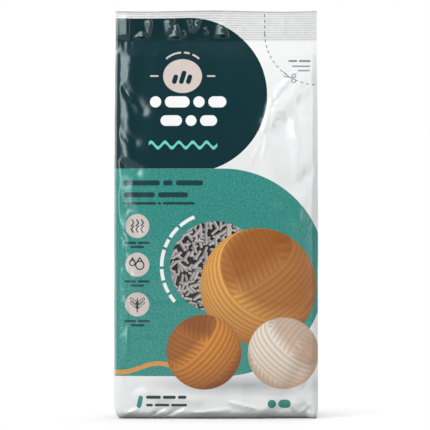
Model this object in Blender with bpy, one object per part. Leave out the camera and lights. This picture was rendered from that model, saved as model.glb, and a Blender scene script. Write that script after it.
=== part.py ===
"""A full, sealed sack of cat litter, standing upright.

The sack is one web of film, folded into a tube with a front panel, a back panel and a gusset on each side. It is
shut by a crimped seal at the top and a folded one underneath, and pressed fins run down its corners. It is one
closed solid, lofted through rings: each ring is the outline of the sack at one height, and its points stand in
the same order all the way up. Metres, +Z up, front panel towards -Y, base on the ground.
"""

import math

import bmesh
import bpy

BAG_WIDTH = 0.360
BAG_HEIGHT = 0.726
GUSSET_DEPTH = 0.150

FIN_WIDTH = 0.007
FIN_THICKNESS = 0.0008

SEAL_HEIGHT = 0.055
SEAL_THICKNESS = 0.002
RIB_PITCH = 0.0042
RIB_RISE = 0.0005
SEAL_WAVE = 0.004
SEAL_WAVE_FADE = 0.110
SEAL_WAVE_TURNS = 0.65
SEAL_WAVE_START = 0.125
TOP_EDGE_DIP = 0.0024
TOP_EDGE_DIP_SPACING = 1.37

PANEL_CROWN = 0.016
CROWN_AT_BASE = 0.1
CROWN_POWER = 0.8
ROUND_EDGE_SHARE = 0.6
ROUND_EDGE_POWER = 6
FOLD_EDGE_POWER = 16
SHOULDER_START = 0.270
SHOULDER_POWER = 2.7
TUCK_START = 0.300
CREASE_DEPTH = 0.004
TUCK_POWER = 3
GUSSET_PUFF = 0.006
PUFF_LIMIT = 0.22
PUFF_POWER = 0.8

FOOT_RADIUS = 0.014
LEFT_CORNER_INSET = 0.009
RIGHT_CORNER_INSET = 0.003
FOOT_CORNER_HEIGHT = 0.023
FOOT_FIN_SHARE = 0.45

LAP_SEAM_WIDTH = 0.012
LAP_SEAM_STEP = 0.0015
LAP_SEAM_RISE = 0.0007

BOTTOM_FLAP_WIDTH = 0.034
BOTTOM_MARGIN = 0.016
GROOVE_WIDTH = 0.003
GROOVE_DEPTH = 0.0012

PANEL_STEPS = 22
GUSSET_STEPS = 8
BODY_STEP = 0.0148
FOOT_STEPS = 5
FOOT_STEP_POWER = 1.7
NECK_HEIGHT = 0.030
NECK_STEPS = 5

# Each fold runs from (across, up) to (across, up): across is -1 at the left fin and 1 at the right one, and up
# is 0 at the base and 1 at the top edge. Then come its breadth and its rise, in metres; a valley's is negative.
FRONT_FOLDS = (
    (0.94, 0.830, 0.55, 0.725, 0.014, 0.0055),
    (0.99, 0.800, 0.62, 0.690, 0.012, -0.0035),
    (0.86, 0.770, 0.90, 0.480, 0.013, 0.0038),
    (0.72, 0.720, 0.80, 0.560, 0.014, -0.0028),
    (0.50, 0.700, 0.62, 0.540, 0.018, 0.0028),
    (-0.86, 0.880, -0.90, 0.640, 0.016, 0.0045),
    (-0.92, 0.800, -0.76, 0.750, 0.011, -0.0040),
    (-0.99, 0.700, -0.84, 0.672, 0.010, -0.0035),
    (-1.00, 0.625, -0.82, 0.600, 0.010, -0.0038),
    (-1.00, 0.545, -0.84, 0.465, 0.013, -0.0040),
    (-0.93, 0.440, -0.80, 0.320, 0.015, 0.0030),
    (0.99, 0.610, 0.86, 0.575, 0.011, -0.0035),
    (0.72, 0.185, 0.98, 0.120, 0.013, 0.0038),
    (0.84, 0.115, 0.66, 0.030, 0.012, -0.0030),
    (-0.94, 0.115, -0.84, 0.075, 0.012, -0.0030),
    (-0.70, 0.066, -0.20, 0.046, 0.011, 0.0025),
    (0.18, 0.058, 0.48, 0.018, 0.010, 0.0030),
    (-0.56, 0.035, -0.40, 0.010, 0.009, -0.0025),
    (0.80, 0.050, 0.98, 0.012, 0.012, -0.0040),
)
BACK_FOLDS = (
    (0.90, 0.830, 0.48, 0.740, 0.015, 0.0040),
    (-0.92, 0.840, -0.55, 0.715, 0.015, 0.0040),
    (-0.84, 0.660, -0.90, 0.420, 0.014, 0.0030),
    (0.99, 0.560, 0.78, 0.500, 0.013, -0.0030),
    (-0.99, 0.330, -0.80, 0.280, 0.013, -0.0030),
    (0.60, 0.060, 0.88, 0.018, 0.012, -0.0025),
)
# On a gusset, across is -1 at the front fin and 1 at the back one.
GUSSET_FOLDS = (
    (-0.80, 0.640, -0.10, 0.520, 0.014, -0.0040),
    (0.85, 0.590, 0.10, 0.470, 0.014, -0.0040),
    (-0.70, 0.330, 0.00, 0.260, 0.015, -0.0030),
    (0.75, 0.200, 0.05, 0.120, 0.015, -0.0030),
    (-0.90, 0.050, -0.20, 0.120, 0.013, 0.0030),
    (0.90, 0.045, 0.25, 0.110, 0.013, 0.0030),
)

SEAL_BOTTOM = BAG_HEIGHT - SEAL_HEIGHT
FILM_COLOUR = (0.86, 0.87, 0.87, 1.0)
FILM_ROUGHNESS = 0.28
SHARP_ANGLE = math.radians(50)


def clear_scene():
    for item in list(bpy.data.objects):
        bpy.data.objects.remove(item, do_unlink=True)


def clamp01(value):
    return max(0.0, min(1.0, value))


def smooth(value):
    """Eases from 0 to 1."""
    value = clamp01(value)
    return value * value * (3.0 - 2.0 * value)


def fold_rise(folds, half_span, across, z):
    """How far the folds push the film out at one place of a panel."""
    rise = 0.0
    for start_x, start_up, end_x, end_up, breadth, height in folds:
        start = (start_x * half_span, start_up * BAG_HEIGHT)
        run = (end_x * half_span - start[0], end_up * BAG_HEIGHT - start[1])
        away = (across * half_span - start[0], z - start[1])
        length = math.hypot(*run)
        along = (away[0] * run[0] + away[1] * run[1]) / length
        off = (away[0] * run[1] - away[1] * run[0]) / length
        past = max(-along, along - length, 0.0)
        rise += height * math.exp(-(off * off + past * past) / (breadth * breadth))
    return rise


def fold_fade(z):
    """Folds die out into the seal above and the flat base below."""
    return smooth((SEAL_BOTTOM - z) / NECK_HEIGHT) * smooth(z / FOOT_RADIUS)


def corner_half_depth(z):
    """Half the depth of the sack at its corners: full below, down to the thin seal above."""
    thin = SEAL_THICKNESS / 2
    share = clamp01((z - SHOULDER_START) / (SEAL_BOTTOM - SHOULDER_START))
    return thin + (GUSSET_DEPTH / 2 - thin) * (1.0 - share**SHOULDER_POWER)


def panel_crown(z):
    """How far the middle of a panel stands out from its corners."""
    share = clamp01(z / SEAL_BOTTOM)
    return PANEL_CROWN * math.sin(math.pi * (CROWN_AT_BASE + (1.0 - CROWN_AT_BASE) * share)) ** CROWN_POWER


def crown_shape(across):
    """A panel across its width: nearly flat in the middle, rounder towards its fins."""
    return 1.0 - (1.0 - ROUND_EDGE_SHARE) * across**2 - ROUND_EDGE_SHARE * across**ROUND_EDGE_POWER


def gusset_tuck(z):
    """How far in the gusset's middle crease lies: all the way where it is folded flat under the seal."""
    share = clamp01((z - TUCK_START) / (SEAL_BOTTOM - TUCK_START))
    deepest = GUSSET_DEPTH / 2 - CREASE_DEPTH
    return CREASE_DEPTH * smooth(z / FOOT_CORNER_HEIGHT) + deepest * share**TUCK_POWER


def foot_inset(z):
    """How far the film has rounded under, close to the base."""
    share = clamp01(1.0 - z / FOOT_RADIUS)
    return FOOT_RADIUS * (1.0 - math.sqrt(1.0 - share * share))


def fin_tip_x(z, side):
    """How far out a fin's tip lies: side is -1 or 1, because the left corners are folded in more at the base."""
    share = clamp01(1.0 - z / FOOT_CORNER_HEIGHT)
    inset = RIGHT_CORNER_INSET if side > 0 else LEFT_CORNER_INSET
    return BAG_WIDTH / 2 - inset * share * share


def fin_root_x(z, side):
    share = clamp01(1.0 - z / FOOT_CORNER_HEIGHT)
    width = FIN_WIDTH * (1.0 - (1.0 - FOOT_FIN_SHARE) * share)
    return fin_tip_x(z, side) - width


def panel_y(z):
    return corner_half_depth(z) - foot_inset(z)


def panel_places():
    """Where a panel has its points, from its middle, each with a 1 where the back is raised by its lap seam."""
    half = BAG_WIDTH / 2 - FIN_WIDTH
    even = [half * (2.0 * i / PANEL_STEPS - 1.0) for i in range(PANEL_STEPS + 1)]
    edge = LAP_SEAM_WIDTH / 2
    seam = [(-edge - LAP_SEAM_STEP, 0.0), (-edge, 1.0), (edge, 1.0), (edge + LAP_SEAM_STEP, 0.0)]
    clear = edge + 2 * LAP_SEAM_STEP
    left = [(place, 0.0) for place in even if place < -clear]
    right = [(place, 0.0) for place in even if place > clear]
    return left + seam + right


PANEL_PLACES = panel_places()


def panel_points(z, side):
    """One panel at height z, from left fin to right fin: side is -1 for the front and 1 for the back."""
    half = BAG_WIDTH / 2 - FIN_WIDTH
    folds = FRONT_FOLDS if side < 0 else BACK_FOLDS
    points = []
    seam_rise = LAP_SEAM_RISE * smooth(z / FOOT_RADIUS) if side > 0 else 0.0
    for place, raised in PANEL_PLACES:
        across = place / half
        out = panel_y(z) + panel_crown(z) * crown_shape(across)
        out += fold_fade(z) * fold_rise(folds, half, across, z) * (1.0 - across**FOLD_EDGE_POWER)
        out += seam_rise * raised
        points.append((across * fin_root_x(z, across), side * out, z))
    return points


def gusset_points(z, side):
    """One gusset at height z, from front fin to back fin: side is -1 for the left and 1 for the right."""
    reach = max(panel_y(z) - FIN_THICKNESS, 0.0)
    tuck = gusset_tuck(z)
    span = math.hypot(reach, tuck)
    puff = min(GUSSET_PUFF, PUFF_LIMIT * reach) * smooth(z / FOOT_CORNER_HEIGHT)
    points = []
    for i in range(GUSSET_STEPS + 1):
        across = 2.0 * i / GUSSET_STEPS - 1.0
        inward = 1.0 - abs(across)
        bow = puff * math.sin(math.pi * inward) ** PUFF_POWER if 0.0 < inward < 1.0 else 0.0
        push = fold_fade(z) * fold_rise(GUSSET_FOLDS, GUSSET_DEPTH / 2, across, z) * inward
        push *= smooth(reach / (GUSSET_DEPTH / 2))
        x = fin_root_x(z, side) - tuck * inward + bow * reach / span + push
        y = reach * across - math.copysign(bow * tuck / span, across)
        points.append((side * x, y, z))
    return points


def fin_points(z, side, end):
    """The tip of one fin, its outer corner first: side is -1 or 1 for left or right, end for front or back."""
    tip = side * fin_tip_x(z, side)
    outer = panel_y(z)
    return [(tip, end * outer, z), (tip, end * (outer - FIN_THICKNESS), z)]


def bend(point):
    """Gives the sack its slack: the seal waves a little, and its top edge dips twice."""
    x, y, z = point
    across = 2.0 * x / BAG_WIDTH
    near = smooth((z - SEAL_BOTTOM + SEAL_WAVE_FADE) / (SEAL_HEIGHT + SEAL_WAVE_FADE))
    wave = SEAL_WAVE * near * math.sin(2 * math.pi * (SEAL_WAVE_TURNS * across + SEAL_WAVE_START))
    in_seal = clamp01((z - SEAL_BOTTOM) / SEAL_HEIGHT)
    dip = TOP_EDGE_DIP * in_seal * math.sin(math.pi * across / TOP_EDGE_DIP_SPACING) ** 2
    return (x, y + wave, z - dip)


def body_ring(z):
    """The outline of the sack at height z, seen from above in turn: front, right, back, left."""
    ring = panel_points(z, -1)
    ring += fin_points(z, 1, -1) + gusset_points(z, 1) + fin_points(z, 1, 1)[::-1]
    ring += panel_points(z, 1)[::-1]
    ring += fin_points(z, -1, 1) + gusset_points(z, -1)[::-1] + fin_points(z, -1, -1)[::-1]
    return [bend(point) for point in ring]


def seal_row(z, shift):
    """The pressed seal at height z, as its front line and its back line, each from tip to tip."""
    places = [-BAG_WIDTH / 2] + [place for place, _ in PANEL_PLACES] + [BAG_WIDTH / 2]
    front = [bend((x, shift - SEAL_THICKNESS / 2, z)) for x in places]
    back = [bend((x, shift + SEAL_THICKNESS / 2, z)) for x in places]
    return front, back


def body_heights():
    foot = [FOOT_CORNER_HEIGHT * (i / FOOT_STEPS) ** FOOT_STEP_POWER for i in range(FOOT_STEPS)]
    neck_start = SEAL_BOTTOM - NECK_HEIGHT
    count = round((neck_start - FOOT_CORNER_HEIGHT) / BODY_STEP)
    step = (neck_start - FOOT_CORNER_HEIGHT) / count
    body = [FOOT_CORNER_HEIGHT + step * i for i in range(count)]
    neck = [neck_start + NECK_HEIGHT * i / NECK_STEPS for i in range(NECK_STEPS + 1)]
    return foot + body + neck


def rib_rows():
    """The crimp: the whole seal steps forwards and back by turns, because the jaws that press it interlock."""
    rows = 2 * round(SEAL_HEIGHT / RIB_PITCH)
    step = SEAL_HEIGHT / rows
    swing = [RIB_RISE * (1 if row % 2 else -1) for row in range(1, rows)]
    return [(SEAL_BOTTOM + step * (row + 1), shift) for row, shift in enumerate(swing)] + [(BAG_HEIGHT, 0.0)]


def bridge(mesh, low, high):
    """Faces between two rings of as many points."""
    for i in range(len(low)):
        j = (i + 1) % len(low)
        mesh.faces.new((low[i], low[j], high[j], high[i]))


def split_ring(ring):
    """Parts one body ring into the points that the seal takes up and those of the two gusset mouths."""
    panel = len(PANEL_PLACES)
    side = GUSSET_STEPS + 5
    right = ring[panel : panel + side]
    back = ring[panel + side : 2 * panel + side]
    left = ring[2 * panel + side :]
    front = [left[-1]] + ring[:panel] + [right[0]]
    back = [left[0]] + back[::-1] + [right[-1]]
    return front, back, right[1:-1], left[1:-1]


def make_body(mesh):
    rings = [[mesh.verts.new(point) for point in body_ring(z)] for z in body_heights()]
    for low, high in zip(rings, rings[1:]):
        bridge(mesh, low, high)
    mesh.faces.new(rings[0][::-1])
    return rings[-1]


def make_seal(mesh, neck):
    """Closes the sack: the seal stands on the neck's outer points, and shuts the mouth of each gusset."""
    front, back, right_mouth, left_mouth = split_ring(neck)
    mesh.faces.new(right_mouth)
    mesh.faces.new(left_mouth)
    for row, (z, shift) in enumerate(rib_rows()):
        next_front, next_back = [[mesh.verts.new(p) for p in line] for line in seal_row(z, shift)]
        for i in range(len(front) - 1):
            mesh.faces.new((front[i], front[i + 1], next_front[i + 1], next_front[i]))
            mesh.faces.new((back[i + 1], back[i], next_back[i], next_back[i + 1]))
        right_end = [front[-1]] + ([right_mouth[0], right_mouth[-1]] if row == 0 else []) + [back[-1]]
        left_end = [back[0]] + ([left_mouth[0], left_mouth[-1]] if row == 0 else []) + [front[0]]
        mesh.faces.new(right_end + [next_back[-1], next_front[-1]])
        mesh.faces.new(left_end + [next_front[0], next_back[0]])
        front, back = next_front, next_back
    for i in range(len(front) - 1):
        mesh.faces.new((front[i], front[i + 1], back[i + 1], back[i]))


def film_material():
    material = bpy.data.materials.new("printed_film")
    material.use_nodes = True
    shader = material.node_tree.nodes["Principled BSDF"]
    shader.inputs["Base Color"].default_value = FILM_COLOUR
    shader.inputs["Roughness"].default_value = FILM_ROUGHNESS
    shader.inputs["Metallic"].default_value = 0.0
    return material


def make_bag(collection):
    mesh = bmesh.new()
    make_seal(mesh, make_body(mesh))
    data = bpy.data.meshes.new("litter_bag")
    mesh.to_mesh(data)
    mesh.free()
    data.materials.append(film_material())
    bag = bpy.data.objects.new("litter_bag", data)
    collection.objects.link(bag)
    data.shade_smooth()
    data.set_sharp_from_angle(angle=SHARP_ANGLE)
    return bag


def groove_lines():
    """The folds of the base: the flap's two long edges, and the tuck that runs in from each corner."""
    long_x = fin_root_x(0.0, -1) - BOTTOM_MARGIN
    flap_y = BOTTOM_FLAP_WIDTH / 2
    corner_y = panel_y(0.0) - BOTTOM_MARGIN
    inner_x = BAG_WIDTH / 2 - GUSSET_DEPTH / 2
    gap = 2 * GROOVE_WIDTH
    lines = [((-long_x, end * flap_y), (long_x, end * flap_y)) for end in (-1, 1)]
    for side in (-1, 1):
        for end in (-1, 1):
            lines.append(((side * inner_x, end * (flap_y + gap)), (side * long_x, end * corner_y)))
    return lines


def cut_grooves(bag, cutters):
    for start, end in groove_lines():
        run = (end[0] - start[0], end[1] - start[1])
        bpy.ops.mesh.primitive_cube_add(size=1.0)
        bar = bpy.context.object
        bar.name = "base_groove"
        bar.scale = (math.hypot(*run), GROOVE_WIDTH, 2 * GROOVE_DEPTH)
        bar.rotation_euler = (0.0, 0.0, math.atan2(run[1], run[0]))
        bar.location = ((start[0] + end[0]) / 2, (start[1] + end[1]) / 2, 0.0)
        for owner in list(bar.users_collection):
            owner.objects.unlink(bar)
        cutters.objects.link(bar)
        bar.hide_render = True
        bar.display_type = "WIRE"
        cut = bag.modifiers.new("base_groove", "BOOLEAN")
        cut.operation = "DIFFERENCE"
        cut.solver = "EXACT"
        cut.object = bar


def main():
    clear_scene()
    parts = bpy.data.collections.new("cat_litter_bag")
    cutters = bpy.data.collections.new("cutters")
    for collection in (parts, cutters):
        bpy.context.scene.collection.children.link(collection)
    bag = make_bag(parts)
    cut_grooves(bag, cutters)


main()
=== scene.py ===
# %% [markdown]
# # A full sack of cat litter
#
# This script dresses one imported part: an upright sack of printed plastic film, folded from a single web,
# with a gusset down each side, a pressed fin at each corner and a crimped seal along the top. The part
# gives the construction. Here the film gets what makes it look like film: fine creases, puckers under the
# seal, a gloss, and a print.
#
# Each step has a short text like this one, and then the cells that do it.

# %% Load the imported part
import math

import bmesh
import bpy
import numpy as np
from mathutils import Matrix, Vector


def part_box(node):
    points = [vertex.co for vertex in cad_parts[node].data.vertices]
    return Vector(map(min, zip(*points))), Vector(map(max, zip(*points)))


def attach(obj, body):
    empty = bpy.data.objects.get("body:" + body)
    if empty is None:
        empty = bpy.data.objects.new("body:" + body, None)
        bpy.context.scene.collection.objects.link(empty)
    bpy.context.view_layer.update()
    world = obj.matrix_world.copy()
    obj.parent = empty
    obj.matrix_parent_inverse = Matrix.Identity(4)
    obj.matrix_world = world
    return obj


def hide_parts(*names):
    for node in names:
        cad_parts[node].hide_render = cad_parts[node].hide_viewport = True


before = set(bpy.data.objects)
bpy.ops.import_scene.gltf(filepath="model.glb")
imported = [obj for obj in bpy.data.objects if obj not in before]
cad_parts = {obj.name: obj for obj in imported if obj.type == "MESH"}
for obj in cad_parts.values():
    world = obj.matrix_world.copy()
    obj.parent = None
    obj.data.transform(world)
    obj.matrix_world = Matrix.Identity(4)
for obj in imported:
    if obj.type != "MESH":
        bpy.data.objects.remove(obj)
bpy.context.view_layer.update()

bag_low, bag_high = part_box("litter_bag")
bag_width = bag_high[0] - bag_low[0]
bag_height = bag_high[2]
print("sack, width and height in metres:", round(bag_width, 4), round(bag_height, 4))

# %% [markdown]
# ## The camera
#
# The photograph looks at the front panel square on, from middle height, and the sack hardly narrows towards
# its top, so the lens is long and stands far off. The camera could be placed by eye, but the two widths
# that the photograph shows give its distance: the seal lies half the sack's depth behind the corners of the
# front panel, and looks about 1.5% narrower. The focal length then follows from how much of the frame the
# sack fills.

# %% Place the camera
def new_object(name, data):
    """Puts an object with the given data into the scene."""
    made = bpy.data.objects.new(name, data)
    bpy.context.scene.collection.objects.link(made)
    return made


camera_distance = 5.00
frame_pixels = 430
corner_pixels = 204.0
sensor_width = 36.0
front_corner_y = 0.075
shift_pixels = (-1.2, -2.0)
focal = corner_pixels / frame_pixels * sensor_width * (camera_distance - front_corner_y) / bag_width
camera_data = bpy.data.cameras.new("camera")
camera_data.sensor_width = sensor_width
camera_data.lens = focal
camera_data.shift_x, camera_data.shift_y = (pixels / frame_pixels for pixels in shift_pixels)
camera = new_object("camera", camera_data)
camera.location = (0.0, -camera_distance, bag_height / 2)
camera.rotation_euler = (math.pi / 2, 0.0, 0.0)
bpy.context.scene.camera = camera
print("focal length in mm:", round(focal, 1))

# %% [markdown]
# ## The shape of the sack
#
# The film stands in rings, one above the other, as in the part: front panel, fin, gusset, fin, back panel,
# fin, gusset, fin. A subdivision surface could smooth the part's own solid, but it would round the pressed
# fins and the crimp away. So the same rules are worked out again on a much finer grid, as arrays: `z` runs
# up the rows and `across` runs over the columns. These first cells hold the rules for the large form.

# %% Sizes of the folded film
fin_width = 0.007
fin_thickness = 0.0008
gusset_depth = 0.150
seal_height = 0.055
seal_thickness = 0.002
seal_bottom = bag_height - seal_height
rib_pitch = 0.0042
foot_radius = 0.014
foot_corner_height = 0.023
left_corner_inset, right_corner_inset = 0.009, 0.003
neck_height = 0.030
panel_half = bag_width / 2 - fin_width
gusset_half = gusset_depth / 2
thinning_from, thinning_power = 0.270, 2.7
crown_height = 0.016
tuck_from, foot_tuck = 0.300, 0.004
wave_height, wave_fade = 0.004, 0.110
dip_depth, dip_pitch = 0.0024, 1.37
print("panel and gusset widths in metres:", round(2 * panel_half, 4), gusset_depth)


def clamp01(value):
    return np.clip(value, 0.0, 1.0)


def smooth(value):
    value = clamp01(value)
    return value * value * (3.0 - 2.0 * value)


def corner_half_depth(z):
    thin = seal_thickness / 2
    share = clamp01((z - thinning_from) / (seal_bottom - thinning_from))
    return thin + (gusset_half - thin) * (1.0 - share**thinning_power)


def panel_crown(z):
    share = clamp01(z / seal_bottom)
    return crown_height * np.sin(math.pi * (0.1 + 0.9 * share)).clip(0.0) ** 0.8


def crown_shape(across):
    return 1.0 - 0.4 * across**2 - 0.6 * across**6


def gusset_tuck(z):
    share = clamp01((z - tuck_from) / (seal_bottom - tuck_from))
    return foot_tuck * smooth(z / foot_corner_height) + (gusset_half - foot_tuck) * share**3


def foot_inset(z):
    share = clamp01(1.0 - z / foot_radius)
    return foot_radius * (1.0 - np.sqrt(1.0 - share * share))


def fin_tip_x(z, side):
    """How far out a fin's tip lies: the left corners are folded in more at the base."""
    share = clamp01(1.0 - z / foot_corner_height)
    inset = np.where(np.asarray(side) > 0, right_corner_inset, left_corner_inset)
    return bag_width / 2 - inset * share * share


def fin_root_x(z, side):
    share = clamp01(1.0 - z / foot_corner_height)
    return fin_tip_x(z, side) - fin_width * (1.0 - 0.55 * share)


def panel_y(z):
    return corner_half_depth(z) - foot_inset(z)


def bend(x, y, z):
    """The slack of the sack: the seal waves a little, and its top edge dips twice."""
    across = 2.0 * x / bag_width
    near = smooth((z - seal_bottom + wave_fade) / (seal_height + wave_fade))
    wave = wave_height * near * np.sin(2 * math.pi * (0.65 * across + 0.125))
    dip = dip_depth * clamp01((z - seal_bottom) / seal_height) * np.sin(math.pi * across / dip_pitch) ** 2
    return x, y + wave, z - dip


# %% [markdown]
# ## Folds and creases
#
# Film that has been filled, lifted and set down keeps soft folds where it was bent, sharp little creases
# where it was pinched, and a net of very shallow crinkles all over. The large folds are those of the part.
# Each is a line from a place to a place, in percent across the half width and up the height, with a breadth
# and a rise in millimetres. The crinkles come from ridged noise: smooth noise folded at its middle, so that
# it has sharp crests. Bump in the material could fake them, but real relief also bends the outline and the
# light.

# %% Broad folds
fold_units = (100, 100, 100, 100, 1000, 1000)
front_folds = [
    (94, 83, 55, 72.5, 14, 3.8),
    (99, 80, 62, 69, 12, -1.8),
    (80, 77, 84, 48, 13, 3.8),
    (72, 72, 80, 56, 14, -2.8),
    (50, 70, 62, 54, 18, 2.8),
    (-89, 88, -92, 64, 14, 3.2),
    (-92, 80, -76, 75, 11, -4),
    (-99, 70, -84, 67.2, 10, -3.5),
    (-100, 62.5, -82, 60, 10, -3.8),
    (-100, 54.5, -84, 46.5, 13, -4),
    (-93, 44, -80, 32, 15, 3),
    (99, 61, 86, 57.5, 11, -3.5),
    (72, 18.5, 98, 12, 13, 3.8),
    (84, 11.5, 66, 3, 12, -3),
    (-94, 11.5, -84, 7.5, 12, -3),
    (-70, 6.6, -20, 4.6, 11, 2.5),
    (18, 5.8, 48, 1.8, 10, 3),
    (-56, 3.5, -40, 1, 9, -2.5),
    (80, 5, 98, 1.2, 12, -4),
]
back_folds = [
    (90, 83, 48, 74, 15, 4),
    (-92, 84, -55, 71.5, 15, 4),
    (-84, 66, -90, 42, 14, 3),
    (99, 56, 78, 50, 13, -3),
    (-99, 33, -80, 28, 13, -3),
    (60, 6, 88, 1.8, 12, -2.5),
]
gusset_folds = [
    (-80, 64, -10, 52, 14, -4),
    (85, 59, 10, 47, 14, -4),
    (-70, 33, 0, 26, 15, -3),
    (75, 20, 5, 12, 15, -3),
    (-90, 5, -20, 12, 13, 3),
    (90, 4.5, 25, 11, 13, 3),
]


def from_line(x, z, start, run):
    """The length of a line, and how far each place lies along it and off it."""
    length = math.hypot(*run)
    x, z = x - start[0], z - start[1]
    return length, (x * run[0] + z * run[1]) / length, (x * run[1] - z * run[0]) / length


def fold_rise(folds, half_span, across, z):
    """How far the broad folds stand out."""
    rise = 0.0 * across * z
    for start_x, start_up, end_x, end_up, breadth, height in np.array(folds) / fold_units:
        start = (start_x * half_span, start_up * bag_height)
        run = (end_x * half_span - start[0], end_up * bag_height - start[1])
        length, along, off = from_line(across * half_span, z, start, run)
        past = np.maximum(np.maximum(-along, along - length), 0.0)
        rise = rise + height * np.exp(-(off * off + past * past) / (breadth * breadth))
    return rise


# %% Crinkles
def noise(u, v, cell, seed):
    """Smooth noise between 0 and 1 on a lattice of the given cell size."""
    lattice = np.random.RandomState(seed).rand(97, 101)
    a, b = u / cell + 31.7, v / cell + 17.3
    i, j = np.floor(a).astype(int), np.floor(b).astype(int)
    s, t = smooth(a - i), smooth(b - j)

    def corner(di, dj):
        return lattice[(i + di) % 97, (j + dj) % 101]

    low = corner(0, 0) * (1 - s) + corner(1, 0) * s
    high = corner(0, 1) * (1 - s) + corner(1, 1) * s
    return low * (1 - t) + high * t


def crinkle(u, v, cell, seed):
    """Ridged noise about 0: sharp crests with soft hollows between them."""
    warp = 0.6 * cell
    a = u + warp * (noise(u, v, 1.7 * cell, seed + 1) - 0.5)
    b = v + warp * (noise(u, v, 1.7 * cell, seed + 2) - 0.5)
    return 0.5 - np.abs(2.0 * noise(a, b, cell, seed) - 1.0)


broad_crinkle, broad_cell = 0.0015, 0.046
middle_crinkle, middle_cell = 0.0009, 0.022
fine_crinkle, fine_cell = 0.0014, 0.015
crumple_rise, crumple_cell = 0.0070, 0.009
crumpled = (96, 534, 16, 42)
stressed = [
    (115, 575, 50, 55),
    (150, 420, 20, 70),
    (-165, 560, 18, 120),
    (-150, 320, 34, 90),
    (-130, 190, 30, 60),
    (100, 30, 80, 26),
    (-120, 22, 60, 20),
    (160, 120, 22, 60),
]


def soft_patch(u, v, place):
    """1 in the middle of a patch and less around: a place, a half width and a half height, in millimetres."""
    at_u, at_v, wide, high = np.array(place) / 1000
    return np.exp(-((u - at_u) / wide) ** 2 - ((v - at_v) / high) ** 2)


def stress(u, v):
    """Where the film was pinched most."""
    return clamp01(sum(soft_patch(u, v, place) for place in stressed))


def film_relief(u, v):
    """Crinkles all over the film, in metres: u runs round the sack and v runs up it."""
    patches = smooth(2.2 * noise(u, v, 0.11, 5) - 0.6)
    pinched = stress(u, v)
    rise = broad_crinkle * crinkle(u, 0.55 * v, broad_cell, 11)
    rise = rise + middle_crinkle * crinkle(0.8 * u, v, middle_cell, 23)
    small = fine_crinkle * crinkle(u + 0.4 * v, v, fine_cell, 61)
    small = small + crumple_rise * soft_patch(u, v, crumpled) * crinkle(u, v - 0.3 * u, crumple_cell, 29)
    return rise * (0.35 + 0.65 * patches) + small * (0.15 * patches + 0.85 * pinched)


# %% [markdown]
# ## Crisp folds
#
# The folds that catch the light most have two flat flanks, a broad one and a steep one, as where film is
# bent over an edge. They are few, and each has its own place in the photograph. So they are listed by the
# pixels that they run from and to, which the camera's scale turns into metres, with a breadth and a rise in
# millimetres. Such a fold could be modelled by hand with creased edges, but as a list it is easy to shift,
# and a whole row of them is built by one sum.

# %% Folds with flat flanks
crisp_units = (1, 1, 1, 1, 1000, 1000, 1)
crisp_folds = [
    (299, 68, 271, 102, 10, 3.4, 1),
    (272, 100, 264, 134, 8, 2.6, 1),
    (268, 128, 262, 160, 6, 1.4, -1),
    (277, 112, 271, 126, 5, 1.2, -1),
    (262, 142, 250, 166, 6, 1.3, 1),
    (286, 100, 300, 150, 10, 1.2, -1),
    (316, 112, 308, 128, 6, -2, 1),
    (316, 168, 307, 182, 6, -2, 1),
    (316, 214, 309, 226, 6, -1.8, -1),
    (119, 82, 133, 104, 6, -2.2, 1),
    (119, 133, 129, 142, 5, -2, 1),
    (117, 158, 126, 168, 5, -1.8, 1),
    (130, 211, 123, 232, 12, 2.4, 1),
    (117, 232, 126, 240, 7, -2, 1),
    (122, 242, 124, 262, 9, 2.2, 1),
    (128, 263, 126, 292, 10, 2, 1),
    (125, 296, 128, 322, 11, 2.4, 1),
    (128, 328, 126, 364, 14, 2.6, 1),
    (226, 401, 258, 409, 10, 4.2, 1),
    (286, 404, 298, 417, 6, -2.4, 1),
    (150, 417, 166, 408, 7, -4, -1),
    (166, 417, 185, 407, 8, -4.5, -1),
    (190, 413, 232, 409, 8, 2.6, 1),
    (121, 416, 140, 408, 7, 3, 1),
    (300, 413, 313, 402, 6, 3, 1),
    (303, 402, 314, 414, 6, -3, 1),
    (296, 345, 314, 372, 8, 2, -1),
    (300, 392, 315, 372, 8, -2, 1),
]
optical_axis = (216.2, 213.0)
front_pixels = 568.4
steeper = 2.5
crisp_from = 0.006
print("crisp folds:", len(crisp_folds), "broad folds on the front:", len(front_folds))


def crisp_rise(x, z):
    """How far the crisp folds stand out: each has two ends in pixels, a breadth, a rise and a lean."""
    rise = 0.0 * x * z
    for from_x, from_y, to_x, to_y, breadth, height, lean in np.array(crisp_folds) / crisp_units:
        start_x = (from_x - optical_axis[0]) / front_pixels
        start_z = bag_height / 2 + (optical_axis[1] - from_y) / front_pixels
        run = ((to_x - from_x) / front_pixels, (from_y - to_y) / front_pixels)
        length, along, off = from_line(x, z, (start_x, start_z), run)
        along, off = along / length, lean * off / breadth
        taper = clamp01(3.0 * along + 0.3) * clamp01(3.3 - 3.0 * along)
        rise = rise + height * np.maximum(taper - np.maximum(off, -steeper * off), 0.0)
    return rise


# %% Where the film turns under, and beside its fins
under_slope = 0.50
under_left, under_right = 0.012, 0.027
under_from, under_to = 0.42, 0.58
held_share = 0.10
roll_height, roll_breadth = 0.0012, 0.0018


def fade_out(z):
    """1 on the body, and 0 at the seal and the base."""
    return smooth((seal_bottom - z) / neck_height) * smooth(z / foot_radius)


def turned_under(across, z):
    """Below a crease that stands higher on the right, the film leans in to the base, but not at its fins."""
    held = smooth((1.0 - np.abs(across)) / held_share)
    share = clamp01((across - under_from) / (under_to - under_from))
    crease = under_left + (under_right - under_left) * share
    return under_slope * held * np.maximum(crease - z, 0.0)


def roll_beside_fins(across):
    """The film stands up steeply from its fins before it rounds over into the panel."""
    from_fin = panel_half * (1.0 - np.abs(across))
    return roll_height * (1.0 - np.exp(-from_fin / roll_breadth))


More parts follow.
